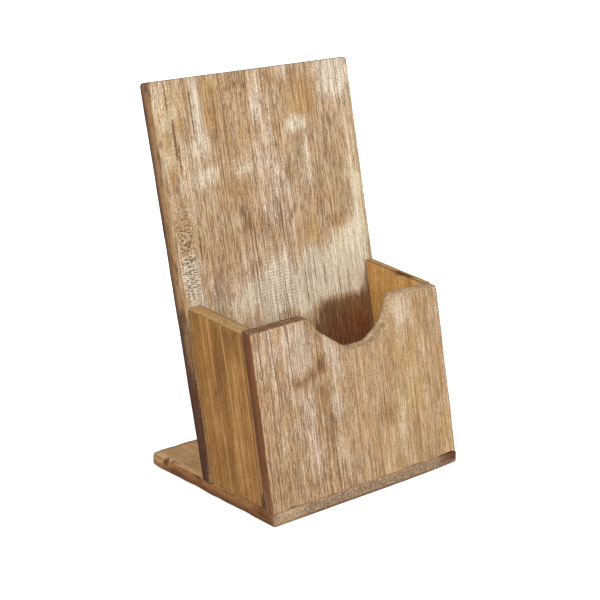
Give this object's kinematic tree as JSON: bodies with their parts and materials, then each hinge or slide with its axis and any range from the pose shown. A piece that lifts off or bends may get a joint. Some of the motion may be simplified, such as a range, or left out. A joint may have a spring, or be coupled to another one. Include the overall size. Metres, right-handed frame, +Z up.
{
  "type": "brochure holder",
  "caption": "Free-standing wooden brochure holder: a tall back board leaning on a flat foot, with a sloped front pocket between cheeks and a finger notch in its front board.",
  "frame": {"origin": "middle of the base board's underside, on the surface that the holder stands on", "axes": "+X to the viewer's right when facing the pocket, +Y to the back, +Z up; the pocket faces -Y"},
  "size_m": [0.1266, 0.1, 0.1992],
  "materials": {
    "base_wood": "weathered, greyish brown, sawn edges",
    "back_wood": "weathered light tan, open pores, pale worn patches",
    "front_wood": "weathered light tan, open pores",
    "cheek_wood": "smooth, honey brown",
    "pin_steel": "bright drawn wire"
  },
  "bodies": {
    "root": {"base_board": "base_wood", "back_board": "back_wood", "front_board": "front_wood", "left_cheek": "cheek_wood", "right_cheek": "cheek_wood", "cheek_foot_pins": "pin_steel", "front_foot_pins": "pin_steel", "back_foot_pins": "pin_steel", "back_edge_pins": "pin_steel"}
  },
  "joints": []
}
